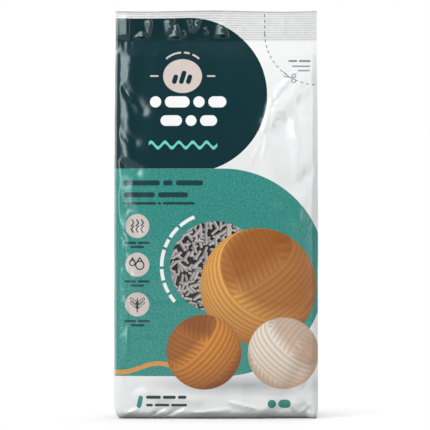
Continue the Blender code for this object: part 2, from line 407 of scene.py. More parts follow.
# %% [markdown]
# ## The film as one closed surface
#
# Each column of points follows one line up the film: its flat position `u` round the web is known, and so
# the print can be laid out flat and still sit right on the filled sack. The web's two long edges overlap in
# a lap seam down the middle of the back, so `u` starts and ends there. The columns are worked out first,
# then the rows are bridged with faces, and last the seal, the mouths of the gussets and the base close the
# surface.

# %% Rows and columns of the film
panel_steps = 150
gusset_steps = 20
foot_rows = 12
body_row = 0.0033
neck_rows = 20
rib_rows = 4
neck_start = seal_bottom - 0.040

foot_z = foot_corner_height * np.linspace(0.0, 1.0, foot_rows, endpoint=False) ** 1.6
body_rows = round((neck_start - foot_corner_height) / body_row)
body_z = np.linspace(foot_corner_height, neck_start, body_rows, endpoint=False)
neck_z = np.linspace(neck_start, seal_bottom, neck_rows + 1)
rows_z = np.concatenate([foot_z, body_z, neck_z])[:, None]

lap_half = 0.006
lap_step = 0.0015
lap_rise = 0.0007
step = np.linspace(-1.0, 1.0, panel_steps + 1)
closer = 0.4
even = panel_half * ((1.0 - closer) * step + closer * np.sin(math.pi * step / 2))
even = even[np.abs(even) > lap_half + 2 * lap_step]
lap = np.array([-lap_half - lap_step, -lap_half, 0.0, lap_half, lap_half + lap_step])
places = np.concatenate([even[even < 0], lap, even[even > 0]])
raised = (np.abs(places) <= lap_half).astype(float)
panel_across = (places / panel_half)[None, :]
gusset_across = np.linspace(-1.0, 1.0, gusset_steps + 1)[None, :]

web_tip = bag_width / 2
web_gusset = web_tip + fin_width
web_gusset_end = web_gusset + gusset_depth
web_back_tip = web_gusset_end + fin_width
web_back = web_back_tip + fin_width
web_half = web_back + panel_half
print("width of the flat web in metres:", round(2 * web_half, 4))


# %% Panels, gussets and fins
pucker_depth, pucker_pitch, pucker_sway = 0.0012, 0.0155, 0.9
pucker_start, pucker_reach = 0.003, 0.014
sway_cell, depth_cell = 0.03, 0.021
puff_depth, puff_share = 0.006, 0.22
wobble_depth, wobble_cell = 0.0007, 0.045
fin_turn = 0.60


def web_of_back(x):
    """Flat position of the back panel's columns: the web's two edges meet at its middle."""
    return np.where(x > 0, web_half - x, -web_half - x)


def pucker(x, z):
    """Short upright pleats, where the film is gathered into the seal."""
    below = seal_bottom - z
    sway = pucker_sway * noise(x, z * 0.0, sway_cell, 71)
    depth = pucker_depth * noise(x, z * 0.0, depth_cell, 77) ** 2 * np.exp(-below / pucker_reach)
    return depth * np.cos(2 * math.pi * (x / pucker_pitch + sway)) * smooth(below / pucker_start)


def panel_grid(side):
    """x, y and z of one panel's points: side is -1 for the front and 1 for the back."""
    z = rows_z
    x = panel_across * fin_root_x(z, panel_across)
    u = x if side < 0 else web_of_back(x)
    out = panel_y(z) + panel_crown(z) * crown_shape(panel_across)
    folds = front_folds if side < 0 else back_folds
    edge = 1.0 - panel_across**16
    out = out + fade_out(z) * edge * (fold_rise(folds, panel_half, panel_across, z) + film_relief(u, z))
    out = out + pucker(x, z) * edge + fade_out(z) * roll_beside_fins(panel_across)
    if side < 0:
        out = out + crisp_rise(x, z) * smooth(z / crisp_from) * smooth((seal_bottom - z) / neck_height) * edge
        out = out - turned_under(panel_across, z)
    if side > 0:
        out = out + lap_rise * raised[None, :] * smooth(z / foot_radius)
    return bend(x, side * out, z + 0.0 * x)


def gusset_grid(side):
    """x, y and z of one gusset's points, from its front fin to its back fin."""
    z, across = rows_z, gusset_across
    reach = np.maximum(panel_y(z) - fin_thickness, 0.0)
    tuck = gusset_tuck(z)
    span = np.hypot(reach, tuck)
    inward = 1.0 - np.abs(across)
    puff = np.minimum(puff_depth, puff_share * reach) * smooth(z / foot_corner_height)
    bow = puff * np.sin(math.pi * inward).clip(0.0) ** 0.8
    u = side * (web_gusset + gusset_half * (1.0 + across))
    push = fold_rise(gusset_folds, gusset_half, across, z) + film_relief(u, z)
    push = push * fade_out(z) * inward * smooth(reach / gusset_half)
    x = fin_root_x(z, side) - tuck * inward + bow * reach / span + push
    y = reach * across - np.copysign(bow * tuck / span, across) * (across != 0)
    return bend(side * x, y, z + 0.0 * x)


def fin_grid(side, end):
    """The outer and inner corner of one fin's tip: the fins lie back a little, towards the gussets."""
    z = rows_z
    wobble = wobble_depth * (noise(z * 0.0, z, wobble_cell, 90 + 2 * side + end) - 0.8)
    x = side * (fin_tip_x(z, side) + wobble * fade_out(z)) + np.zeros((1, 2))
    turned = fin_turn * fin_width * fade_out(z) * smooth(panel_y(z) / 0.02)
    y = end * (panel_y(z) - turned - np.array([[0.0, fin_thickness]]))
    return bend(x, y, z + 0.0 * x)


# %% Join the columns into one ring of the film
def column_block(grid, web, backwards=False):
    """A block of columns with its flat positions round the web."""
    points = np.stack(grid, axis=-1)
    web = np.asarray(web, float)
    return (points[:, ::-1], web[::-1]) if backwards else (points, web)


tip_step = 0.0005
right_web = web_gusset + gusset_half * (1.0 + gusset_across[0])
blocks = [
    column_block(panel_grid(-1), places),
    column_block(fin_grid(1, -1), [web_tip, web_tip + tip_step]),
    column_block(gusset_grid(1), right_web),
    column_block(fin_grid(1, 1), [web_back_tip + tip_step, web_back_tip], backwards=True),
    column_block(panel_grid(1), web_of_back(places), backwards=True),
    column_block(fin_grid(-1, 1), [-web_back_tip - tip_step, -web_back_tip]),
    column_block(gusset_grid(-1), -right_web, backwards=True),
    column_block(fin_grid(-1, -1), [-web_tip, -web_tip - tip_step], backwards=True),
]
ring_points = np.concatenate([points for points, _ in blocks], axis=1)
ring_web = np.concatenate([web for _, web in blocks])
ring_rows, ring_columns = ring_points.shape[:2]
print("rows and columns of the film:", ring_rows, ring_columns)

# %% [markdown]
# ## The crimped seal
#
# The jaws that shut the sack have matching teeth, so the flat seal is pressed into fine level ribs that
# step forwards on one face and back on the other. The film wrinkled a little before the jaws closed, and
# the jaws pressed those wrinkles flat: pleats with a flat flank that mirrors the tall light on the left.
# The seal leans back by a few millimetres towards its top, so that the flanks mirror that light and not the
# floor. The pleats could be bump, but a bump has no true flat flank, and the seal's outline shows them too.

# %% Pleats of the seal
seal_x = np.concatenate([[-bag_width / 2], places, [bag_width / 2]])[None, :]
rib_count = round(seal_height / rib_pitch)
seal_rows = rib_count * rib_rows
seal_z = np.linspace(seal_bottom, bag_height, seal_rows + 1)[1:, None]
pleat_slope, slope_wave = 0.40, 0.09
flatter_from, flatter_breadth, flatter_share = 0.010, 0.030, 0.65
rib_depth = 0.00004
wrinkle_depth, wrinkle_cell = 0.0005, 0.024
seal_lean, lean_from = 0.0032, 0.12
pleat_units = (1000, 1000, 1000, 1000, 100, 100)
pleats = [
    (-170, -168, 18, 14, 2, 90),
    (-124.5, -121.5, 13, 5, 12, 78),
    (-133, -140, 4, 20, 10, 36),
    (-87.3, -88, 16, 7, 18, 78),
    (-74, -79, 3, 20, 2, 66),
    (-59.5, -59.5, 3, 6, 12, 44),
    (-52, -44, 8, 7, 26, 76),
    (-34, -40, 9, 6, 30, 76),
    (-22.5, -19, 3, 6, 18, 55),
    (4, 6, 10, 21, 10, 62),
    (47, 40, 6, 10, 10, 80),
    (82, 90, 12, 8, 5, 75),
    (121, 114, 6, 14, 15, 90),
    (150, 156, 12, 6, 10, 70),
]


def seal_pleats(x, height):
    """Pleats that the jaws pressed flat. Each has the places of its top and bottom and its breadths there, in
    millimetres, and its two heights in percent of the seal's. A flat flank faces left, and a short steep one
    faces right."""
    rise = 0.0 * x * height
    slope = pleat_slope + slope_wave * np.cos(2 * math.pi * (1.3 * x / bag_width + 0.125))
    slope = slope * (1.0 - flatter_share * smooth((x - flatter_from) / flatter_breadth))
    for top_x, bottom_x, top_breadth, bottom_breadth, low, high in np.array(pleats) / pleat_units:
        up = clamp01((height - low) / (high - low))
        breadth = bottom_breadth + (top_breadth - bottom_breadth) * up
        left = bottom_x + (top_x - bottom_x) * up - breadth / 2
        off = (x - left) / breadth
        ends = clamp01(np.minimum(up, 1.0 - up) / 0.22)
        rise = rise + slope * breadth * ends * clamp01(np.minimum(off, (1.4 - off) / 0.4))
    return rise


# %% Points of the seal
def seal_grid(side):
    """x, y and z of one face of the seal, above the neck."""
    height = (seal_z - seal_bottom) / seal_height
    rib = rib_depth * np.sin(2 * math.pi * rib_count * height)
    pressed = smooth(height / 0.15) * smooth((1.0 - height) / 0.1 + 0.4)
    wrinkle = wrinkle_depth * crinkle(seal_x, 0.45 * seal_z, wrinkle_cell, 51) - seal_pleats(seal_x, height)
    wrinkle = wrinkle + seal_lean * np.maximum(height - lean_from, 0.0)
    y = rib + pressed * wrinkle + side * seal_thickness / 2
    return bend(seal_x + 0.0 * seal_z, y, seal_z + 0.0 * seal_x)


seal_front = np.stack(seal_grid(-1), axis=-1)
seal_back = np.stack(seal_grid(1), axis=-1)
print("ribs in the seal:", rib_count)

# %% [markdown]
# ## Faces, and a flat position for every corner
#
# A face list built by hand is only worth it where no modelling tool makes the shape, and a loft between
# unlike outlines is such a case. While the faces are made, each corner also gets its place on the flat web,
# in metres. That is the UV map the print reads. A second map holds the same layout inside one square, for
# baking.

# %% Faces of the film
points = np.concatenate([ring_points.reshape(-1, 3), seal_front.reshape(-1, 3), seal_back.reshape(-1, 3)])
panel_count, gusset_count = len(places), gusset_across.shape[1]
seal_columns = seal_x.shape[1]
same_place = 1e-6
ring_index = np.arange(ring_rows * ring_columns).reshape(ring_rows, ring_columns)
seal_index = ring_index.size + np.arange(2 * seal_rows * seal_columns).reshape(2, seal_rows, seal_columns)
quads, quad_places = [], []


def add_grid(index, web, level):
    """Quads of a grid whose columns run round the sack and whose rows run up it, with their flat places."""
    corners = (index[:-1, :-1], index[:-1, 1:], index[1:, 1:], index[1:, :-1])
    quads.append(np.stack([corner.ravel() for corner in corners], axis=-1))
    u, v = np.broadcast_arrays(np.asarray(web)[None, :], np.asarray(level)[:, None])
    flat = np.stack([u, v], axis=-1)
    around = (flat[:-1, :-1], flat[:-1, 1:], flat[1:, 1:], flat[1:, :-1])
    around = np.stack([corner.reshape(-1, 2) for corner in around], axis=1)
    past_edge = around[:, :, 0].min(axis=1) >= web_half - same_place
    around[past_edge, :, 0] -= 2 * web_half
    quad_places.append(around)


def walk_on(web):
    """Lets flat positions run on past the web's edge instead of jumping back."""
    web = np.array(web, float)
    jumps = np.concatenate([[0.0], np.cumsum(np.diff(web) < -web_half)])
    return web + 2 * web_half * jumps


# %% Faces of the body, the seal and the corners
closed_ring = np.concatenate([ring_index, ring_index[:, :1]], axis=1)
add_grid(closed_ring, walk_on(np.append(ring_web, ring_web[0])), rows_z[:, 0])

neck = ring_index[-1]
right = panel_count
back = right + gusset_count + 4
left = back + panel_count
neck_front = np.concatenate([[neck[-1]], neck[:right], [neck[right]]])
neck_back = np.concatenate([[neck[left]], neck[back:left][::-1], [neck[back - 1]]])
seal_levels = np.append(seal_bottom, seal_z[:, 0])
add_grid(np.vstack([neck_front, seal_index[0]]), seal_x[0], seal_levels)
back_columns = np.vstack([neck_back, seal_index[1]])[:, ::-1]
back_web = np.concatenate([[web_back_tip], web_of_back(places[::-1]), [-web_back_tip]])
add_grid(back_columns, walk_on(back_web), seal_levels)
top = np.vstack([seal_index[0][-1], seal_index[1][-1]])
add_grid(top, seal_x[0], [bag_height, bag_height + seal_thickness])

quads = np.concatenate(quads)
quad_places = np.concatenate(quad_places)

right_mouth = neck[right + 1 : back - 1]
left_mouth = neck[left + 1 : -1]
right_end = [seal_index[1][0, -1], seal_index[0][0, -1]]
left_end = [seal_index[0][0, 0], seal_index[1][0, 0]]
odd_faces = [list(right_mouth), list(left_mouth)]
odd_faces.append([neck[right], right_mouth[0], right_mouth[-1], neck[back - 1]] + right_end)
odd_faces.append([neck[left], left_mouth[0], left_mouth[-1], neck[-1]] + left_end)
for row in range(seal_rows - 1):
    low, high = seal_index[:, row], seal_index[:, row + 1]
    odd_faces.append([low[0][-1], low[1][-1], high[1][-1], high[0][-1]])
    odd_faces.append([low[1][0], low[0][0], high[0][0], high[1][0]])
print("faces round and up the film:", len(quads), "others:", len(odd_faces))

# %% [markdown]
# ## The folded base
#
# Underneath, the bottom seal is folded flat against the base, and the gussets are tucked in from the
# corners. Only their creases show, as shallow grooves. The base starts as a thin plate under the lowest
# ring, the grooves are cut into it with Booleans, and then only its underside is kept and joined to the
# film.

# %% Base plate with its creases
groove_margin, groove_gap = 0.016, 0.006
groove_breadth, groove_height = 0.003, 0.0024
flap_half = 0.034 / 2
plate_top = 0.004


def groove_lines():
    """Both edges of the folded flap, and a crease from each of its ends to a corner."""
    long_x = float(fin_root_x(0.0, -1)) - groove_margin
    corner_y = float(panel_y(0.0)) - groove_margin
    inner_x = bag_width / 2 - gusset_half
    lines = [((-long_x, end * flap_half), (long_x, end * flap_half)) for end in (-1, 1)]
    for side in (-1, 1):
        for end in (-1, 1):
            inner = (side * inner_x, end * (flap_half + groove_gap))
            lines.append((inner, (side * long_x, end * corner_y)))
    return lines


def base_underside():
    """The base's faces, as points and lists of point numbers."""
    rim = ring_points[0]
    count = len(rim)
    plate_points = [tuple(p) for p in rim] + [(x, y, plate_top) for x, y, _ in rim]
    plate_faces = [list(range(count))[::-1], list(range(count, 2 * count))]
    plate_faces += [[i, (i + 1) % count, count + (i + 1) % count, count + i] for i in range(count)]
    plate_mesh = bpy.data.meshes.new("base_plate")
    plate_mesh.from_pydata(plate_points, [], plate_faces)
    plate = new_object("base_plate", plate_mesh)
    bars = []
    for start, end in groove_lines():
        run = (end[0] - start[0], end[1] - start[1])
        bpy.ops.mesh.primitive_cube_add(size=1.0)
        bar = bpy.context.object
        bar.scale = (math.hypot(*run), groove_breadth, groove_height)
        bar.rotation_euler = (0.0, 0.0, math.atan2(run[1], run[0]))
        bar.location = ((start[0] + end[0]) / 2, (start[1] + end[1]) / 2, 0.0)
        cut = plate.modifiers.new("crease", "BOOLEAN")
        cut.object = bar
        bars.append(bar)
    bpy.context.view_layer.update()
    cut_mesh = bpy.data.meshes.new_from_object(plate.evaluated_get(bpy.context.evaluated_depsgraph_get()))
    made = [tuple(v.co) for v in cut_mesh.vertices]
    faces = [list(face.vertices) for face in cut_mesh.polygons]
    faces = [face for face in faces if max(made[i][2] for i in face) < plate_top / 2]
    for item in bars + [plate]:
        bpy.data.objects.remove(item, do_unlink=True)
    return made, faces


base_points, base_faces = base_underside()
print("faces of the base:", len(base_faces))

# %% Build the mesh and its two maps
map_scale = 0.6
base_u, base_v, base_film_v = 0.84, 0.08, -0.10
ends_u, ends_v, ends_apart, ends_splay = 0.85, 0.3, 0.07, 0.4
weld_height, weld_distance = 1e-4, 1e-5
sharp_degrees = 50


def flat_square(u, v):
    """Where a flat place of the web lies in the square that is used for baking."""
    return 0.01 + 0.98 * (u + web_half) / (2.9 * web_half), 0.01 + 0.97 * v / bag_height


def weld_base(mesh):
    """Joins the base's rim to the film's lowest row."""
    sheet = bmesh.new()
    sheet.from_mesh(mesh)
    low = [vertex for vertex in sheet.verts if vertex.co.z < weld_height]
    bmesh.ops.remove_doubles(sheet, verts=low, dist=weld_distance)
    open_edges = sum(len(edge.link_faces) != 2 for edge in sheet.edges)
    sheet.to_mesh(mesh)
    sheet.free()
    print("triangles:", sum(len(face.vertices) - 2 for face in mesh.polygons), "edges left open:", open_edges)


def build_sack():
    """For baking, the web fills the left of the square, and the base and the seal's ends stand beside it."""
    offset = len(points)
    all_points = np.concatenate([points, np.array(base_points)])
    faces = quads.tolist() + [[int(i) for i in face] for face in odd_faces]
    faces += [[offset + i for i in face] for face in base_faces]
    mesh = bpy.data.meshes.new("sack")
    mesh.from_pydata(all_points.tolist(), [], faces)
    film_map = mesh.uv_layers.new(name="film")
    bake_map = mesh.uv_layers.new(name="OFBake")
    corner_points = np.empty(len(mesh.loops), int)
    mesh.loops.foreach_get("vertex_index", corner_points)
    x, y, z = all_points[corner_points].T
    film = np.stack([x, np.full_like(x, base_film_v)], axis=-1)
    bake = np.stack([base_u + map_scale * x, base_v + map_scale * y], axis=-1)
    in_grid = quad_places.reshape(-1, 2)
    film[: len(in_grid)] = in_grid
    bake[: len(in_grid)] = np.stack(flat_square(in_grid[:, 0], in_grid[:, 1]), axis=-1)
    end = len(in_grid) + sum(len(face) for face in odd_faces)
    beside = slice(len(in_grid), end)
    film[beside] = np.stack([np.sign(x[beside]) * web_tip, z[beside]], axis=-1)
    end_u = ends_u + ends_apart * np.sign(x[beside]) + map_scale * y[beside]
    end_v = ends_v + map_scale * z[beside] + ends_splay * (np.abs(x[beside]) - web_tip)
    bake[beside] = np.stack([end_u, end_v], axis=-1)
    film_map.data.foreach_set("uv", film.ravel())
    bake_map.data.foreach_set("uv", bake.ravel())
    weld_base(mesh)
    mesh.shade_smooth()
    mesh.set_sharp_from_angle(angle=math.radians(sharp_degrees))
    return new_object("sack", mesh)


sack = build_sack()

# %% [markdown]
# ## Ink on the film
#
# The print is drawn by the material itself. Each shape is a small sum in the flat map's metres: how far is
# this place from a line, a disc or a half plane, and is that less than the shape's size? A picture file
# would be the usual way, but shapes worked out like this stay sharp at any size and need no file. A `Value`
# stands for what comes out of a node, and a plus or a minus on it adds the Math node that does the sum.

# %% Values that come out of nodes
def connect(socket, value):
    """Links a value to a node's socket, or sets the socket to a plain number, place or colour."""
    if isinstance(value, Value):
        socket.id_data.links.new(value.socket, socket)
    elif socket.type == "RGBA":
        socket.default_value = (*value[:3], 1.0)
    else:
        socket.default_value = value


def work(operation, *values):
    """Adds a Math or a Vector Math node, and gives what comes out of it."""
    owner = next(value for value in values if isinstance(value, Value))
    of_places = owner.socket.type == "VECTOR"
    kind = "ShaderNodeVectorMath" if of_places else "ShaderNodeMath"
    made = owner.board.node(kind, *values, operation=operation)
    number = operation in ("DOT_PRODUCT", "DISTANCE", "LENGTH") or not of_places
    return Value(owner.board, made.outputs["Value" if number else "Vector"])


class Value:
    """A number, a place or a colour in a node tree."""

    def __init__(self, board, socket):
        self.board = board
        self.socket = socket

    def __add__(self, other):
        return work("ADD", self, other)

    def __sub__(self, other):
        return work("SUBTRACT", self, other)

    def __rsub__(self, other):
        return work("SUBTRACT", other, self)

    def __mul__(self, other):
        return work("MULTIPLY", self, other)

    def __truediv__(self, other):
        return work("DIVIDE", self, other)

    def __abs__(self):
        return work("ABSOLUTE", self)

    def clamped(self):
        return self.board.out(self.board.node("ShaderNodeClamp", self))

    def line(self, slope, start):
        """A slope times this value, plus a start."""
        return work("MULTIPLY_ADD", self, slope, start)

    def ramp(self, slope, start):
        """The same, kept between 0 and 1."""
        return self.line(slope, start).clamped()

    def fade(self, *limits):
        """From two limits of this value to two limits of the result."""
        return self.board.out(self.board.node("ShaderNodeMapRange", self, *limits))

    def scaled(self, factor):
        """A place or a colour, times one number."""
        made = self.board.node("ShaderNodeVectorMath", self, operation="SCALE")
        connect(made.inputs["Scale"], factor)
        return self.board.out(made)

    def parts(self):
        """The x, y and z of a place."""
        split = self.board.node("ShaderNodeSeparateXYZ", self)
        return [self.board.out(split, number) for number in range(3)]


# %% A board to draw on
class Print:
    """Adds nodes to one node tree, and keeps the colour that has been laid so far."""

    def __init__(self, tree):
        self.tree = tree

    def node(self, kind, *values, **settings):
        made = self.tree.nodes.new(kind)
        for name, value in settings.items():
            setattr(made, name, value)
        for socket, value in zip(made.inputs, values):
            connect(socket, value)
        return made

    def out(self, node, which=0):
        return Value(self, node.outputs[which])

    def texture(self, kind, place, scale, detail=None, **settings):
        made = self.node("ShaderNodeTex" + kind, place, **settings)
        made.inputs["Scale"].default_value = scale
        if detail is not None:
            made.inputs["Detail"].default_value = detail
        return made

    def mix(self, mask, below, above, kind="RGBA"):
        made = self.node("ShaderNodeMix", mask, data_type=kind)
        first, result = (6, 2) if kind == "RGBA" else (2, 0)
        connect(made.inputs[first], below)
        connect(made.inputs[first + 1], above)
        return self.out(made, result)

    def lay(self, mask, ink):
        self.colour = self.mix(mask, self.colour, ink)

    def shape(self, group, ink, *sizes):
        """Lays a stroke, a disc or a ring."""
        self.lay(self.out(self.node("ShaderNodeGroup", self.place, *sizes, node_tree=group)), ink)


# %% Strokes, discs and rings
ink_edge = 0.0004


def inside(distance):
    """Turns a distance past a shape's edge into 1 inside and 0 outside."""
    return distance.ramp(-1.0 / ink_edge, 0.5)


def past_stroke(place, start, end, radius):
    """How far a place lies past the edge of a line with round ends."""
    away = place - start
    run = end - start
    share = (work("DOT_PRODUCT", away, run) / work("DOT_PRODUCT", run, run)).clamped()
    return work("DISTANCE", away, run.scaled(share)) - radius


def past_disc(place, middle, radius):
    return work("DISTANCE", place, middle) - radius


def past_ring(place, middle, radius, half_width):
    return abs(work("DISTANCE", place, middle) - radius) - half_width


def shape_group(name, places, sizes, past_edge):
    """A node group that makes a shape's mask from some places and sizes."""
    tree = bpy.data.node_groups.new(name, "ShaderNodeTree")
    for titles, kind in ((places, "NodeSocketVector"), (sizes, "NodeSocketFloat")):
        for title in titles:
            tree.interface.new_socket(name=title, in_out="INPUT", socket_type=kind)
    tree.interface.new_socket(name="Mask", in_out="OUTPUT", socket_type="NodeSocketFloat")
    board = Print(tree)
    given = board.node("NodeGroupInput")
    result = board.node("NodeGroupOutput")
    values = [board.out(given, number) for number in range(len(places) + len(sizes))]
    connect(result.inputs[0], inside(past_edge(*values)))
    return tree


stroke = shape_group("stroke", ("Place", "From", "To"), ("Radius",), past_stroke)
disc = shape_group("disc", ("Place", "Middle"), ("Radius",), past_disc)
ring = shape_group("ring", ("Place", "Middle"), ("Radius", "Half width"), past_ring)

# %% Inks, and the bare film
film_white = (0.830, 0.838, 0.840)
deep_teal = (0.0030, 0.0290, 0.0370)
mid_teal = (0.0400, 0.2600, 0.2250)
mint = (0.1600, 0.6300, 0.5000)
pale_pink = (0.6300, 0.5500, 0.5100)
print_white = (0.880, 0.885, 0.885)
ink_dark = (0.0140, 0.0500, 0.0600)
ink_grey = (0.2600, 0.2700, 0.2800)
cut_grey = (0.110, 0.115, 0.120)
print_shift = 0.0015


def at(x, y):
    return (x, y, 0.0)


def start_print(tree):
    board = Print(tree)
    flat = board.out(board.node("ShaderNodeUVMap", uv_map="film"))
    board.place = flat - at(print_shift, 0.0)
    board.colour = board.mix(0.0, film_white, film_white)
    return board


# %% [markdown]
# ## Two fields of colour
#
# A deep teal field and a lighter one lie one above the other. Each is flat on the left and ends on the
# right in half a disc, and both run on round the left gusset to the back, where they end in the same way.
# One sum draws such a field: within the straight stretch only the height counts, and past either end the
# distance from the middle of that end's half disc. The lighter ink is printed thin and looks speckled,
# which a fine noise gives.

# %% Draw the fields
def field(board, ink, level, radius, right_end, left_end, low, high):
    """A band with round ends, cut off at two heights."""
    x, y, _ = board.place.parts()
    past_right = x - right_end
    past_left = left_end - x
    past = work("MAXIMUM", work("MAXIMUM", past_right, past_left), 0.0)
    rise = y - level
    rounded = inside(work("SQRT", past * past + rise * rise) - radius)
    above = inside(low - y)
    below = inside(y - high)
    board.lay(rounded * (above * below), ink)


fields_meet = 0.4413
speckle_size = 0.0036
speckle_dark, speckle_light = 0.60, 1.46


def speckled(board, ink):
    grain = board.texture("Noise", board.place, 1.0 / speckle_size, 1.0, noise_dimensions="2D")
    darker, lighter = ([part * share for part in ink] for share in (speckle_dark, speckle_light))
    return board.mix(board.out(grain), darker, lighter)


def draw_fields(board):
    field(board, deep_teal, 0.5735, 0.1396, -0.0507, -0.3600, fields_meet, 0.7132)
    field(board, speckled(board, mid_teal), 0.2585, 0.1829, 0.0094, -0.3330, 0.0756, fields_meet)


# %% [markdown]
# ## Pellets
#
# The pack pictures its pellets in a disc. A Voronoi texture gives each pellet a cell of its own with a
# random colour: the colour turns the pellet about and sets its grey. Three layers lie over each other, so
# that the pellets overlap as they do in a heap.

# %% Draw the picture of pellets
picture_middle = at(-0.0030, 0.2690)
picture_radius = 0.0795
pellet_half, pellet_radius = 0.44, 0.145
pellet_layers = [(at(0.3, 0.1), 0.0150), (at(0.7, 0.4), 0.0170), (at(0.2, 0.9), 0.0190)]
pellet_dark, pellet_light = (0.10, 0.085, 0.085), (0.72, 0.67, 0.66)
heap_dark = (0.020, 0.016, 0.016)


def pellet_layer(board, below, shift, cell):
    """One layer of scattered pellets over the colour below. A pellet's sizes are shares of its cell."""
    moved = board.place + shift
    cells = board.texture("Voronoi", moved, 1.0 / cell, voronoi_dimensions="2D", feature="F1")
    away = moved - board.out(cells, "Position")
    random = board.node("ShaderNodeSeparateColor", board.out(cells, "Color"))
    turn = board.node("ShaderNodeVectorRotate", away, rotation_type="Z_AXIS")
    connect(turn.inputs["Angle"], board.out(random, 0) * math.pi)
    along, side, _ = board.out(turn).parts()
    over = work("MAXIMUM", abs(along) - pellet_half * cell, 0.0)
    mask = inside(work("SQRT", over * over + side * side) - pellet_radius * cell)
    lit = side.ramp(3.0 / cell, 0.55)
    shade = lit * board.out(random, 1).line(0.35, 0.65)
    return board.mix(mask, below, board.mix(shade, pellet_dark, pellet_light))


def draw_pellets(board):
    heap = board.mix(0.0, heap_dark, heap_dark)
    for shift, cell in pellet_layers:
        heap = pellet_layer(board, heap, shift, cell)
    board.shape(disc, heap, picture_middle, picture_radius)


# %% [markdown]
# ## Balls of wool
#
# The lower half of the print is a warm picture in ginger and cream. Here it is three balls of wool with a
# loose end that trails to the left. A ball is a disc lifted to a sphere: the third coordinate of a place on
# it is known from the other two. Threads are bands of equal tilt about an axis, and a few such windings
# with different axes lie over each other, as they do on a real ball.

# %% Draw one ball
winding_edge = 0.46
thread_depth, thread_level = 0.24, 0.70
light_share, light_level = 0.62, 0.42
print_light = (-0.35, 0.62, 0.70)


def wool_ball(board, middle, radius, light, dark, threads, axes):
    """Lays a ball of wool over the print: each axis carries one winding."""
    flat = (board.place - middle).scaled(1.0 / radius)
    reach = work("DOT_PRODUCT", flat, flat)
    lift = work("SQRT", work("MAXIMUM", 1.0 - reach, 0.0))
    globe = flat + board.out(board.node("ShaderNodeCombineXYZ", 0.0, 0.0, lift))
    tone = None
    for axis in axes:
        tilt = work("DOT_PRODUCT", globe, Vector(axis).normalized())
        thread = work("COSINE", tilt * (threads * 2 * math.pi)).line(thread_depth, thread_level)
        if tone is None:
            tone = thread
            continue
        edge = winding_edge - abs(tilt)
        on_top = (edge * (threads * 3.0)).clamped()
        shadow = edge.ramp(3.0, 1.0)
        tone = board.mix(on_top, tone * work("MAXIMUM", shadow, 0.35), thread, kind="FLOAT")
    lit = work("DOT_PRODUCT", globe, print_light).ramp(light_share, light_level)
    board.shape(disc, board.mix(tone * lit, dark, light), middle, radius)


# %% Draw the balls and the loose end
ginger, ginger_dark = (0.900, 0.470, 0.120), (0.300, 0.085, 0.012)
amber, amber_dark = (0.800, 0.320, 0.050), (0.220, 0.055, 0.009)
cream, cream_dark = (0.930, 0.860, 0.770), (0.480, 0.310, 0.200)
big_windings = ((0.2, 1.0, 0.3), (1.0, 0.35, -0.1), (-0.6, 1.0, 0.5), (0.5, 0.6, 1.0))
amber_windings = ((1.0, 0.2, 0.3), (0.3, 1.0, 0.2), (-0.8, 0.7, 0.4))
cream_windings = ((0.3, 1.0, -0.2), (1.0, -0.5, 0.3), (0.8, 0.9, 0.5))
shadow_middle, shadow_reach = at(0.045, 0.0600), (0.190, 0.022, 1.0)
shadow_grey, shadow_strength = (0.30, 0.31, 0.32), 0.75
strand_turns = 1400.0


def soft_shadow(board):
    """A soft grey patch under the balls."""
    off = work("LENGTH", (board.place - shadow_middle) / shadow_reach)
    board.lay((1.0 - off).clamped() * shadow_strength, shadow_grey)


def loose_end(board, level, swing, turns, radius, right):
    """A thread that waves along a level line to the left."""
    x, y, _ = board.place.parts()
    line = work("SINE", x * turns).line(swing, level)
    mask = inside(abs(y - line) - radius)
    stretch = inside(x - right)
    strands = work("SINE", (x + y) * strand_turns)
    colour = board.mix(strands.line(0.3, 0.6), amber_dark, ginger)
    board.lay(mask * stretch, colour)


def draw_wool(board):
    soft_shadow(board)
    loose_end(board, 0.0900, 0.0080, 46.0, 0.0042, -0.0200)
    wool_ball(board, at(0.0730, 0.2337), 0.1025, ginger, ginger_dark, 10.0, big_windings)
    wool_ball(board, at(-0.0230, 0.1180), 0.0660, amber, amber_dark, 7.5, amber_windings)
    wool_ball(board, at(0.1170, 0.1160), 0.0630, cream, cream_dark, 7.0, cream_windings)


# %% [markdown]
# ## Bars for the words
#
# Where a pack carries words, this one carries plain rounded bars, as a designer's rough layout does. They
# keep the size, the place and the weight of each line. The two large lines at the top are rows of plump
# pellets.

# %% Draw the bars
lines_of_words = [
    (-0.1655, 0.4160, 0.0092, 0.0055, (0.0650, 0.0170, 0.0480), ink_dark),
    (-0.1655, 0.3950, 0.0092, 0.0055, (0.0560, 0.0530), ink_dark),
    (-0.1655, 0.3800, 0.0044, 0.0030, (0.0580, 0.0060, 0.0560), ink_dark),
    (-0.1250, 0.0385, 0.0056, 0.0035, (0.0260, 0.0230, 0.0150), ink_dark),
    (-0.1250, 0.0245, 0.0046, 0.0030, (0.0120, 0.0260, 0.0280), ink_dark),
    (0.0890, 0.0265, 0.0150, 0.0040, (0.0150, 0.0220), mid_teal),
]
foot_mark = (at(-0.1375, 0.0235), at(-0.1345, 0.0370), 0.0042)


def words(board, left, level, height, gap, lengths, ink):
    """A line of bars, one for each word."""
    radius = height / 2
    for length in lengths:
        ends = at(left + radius, level), at(left + length - radius, level)
        board.shape(stroke, ink, *ends, radius)
        left += length + gap


def draw_title(board):
    words(board, -0.1190, 0.5600, 0.0200, 0.0065, (0.0200, 0.0440, 0.0200, 0.0320), print_white)
    words(board, -0.1000, 0.5265, 0.0190, 0.0065, (0.0380, 0.0190, 0.0300), print_white)


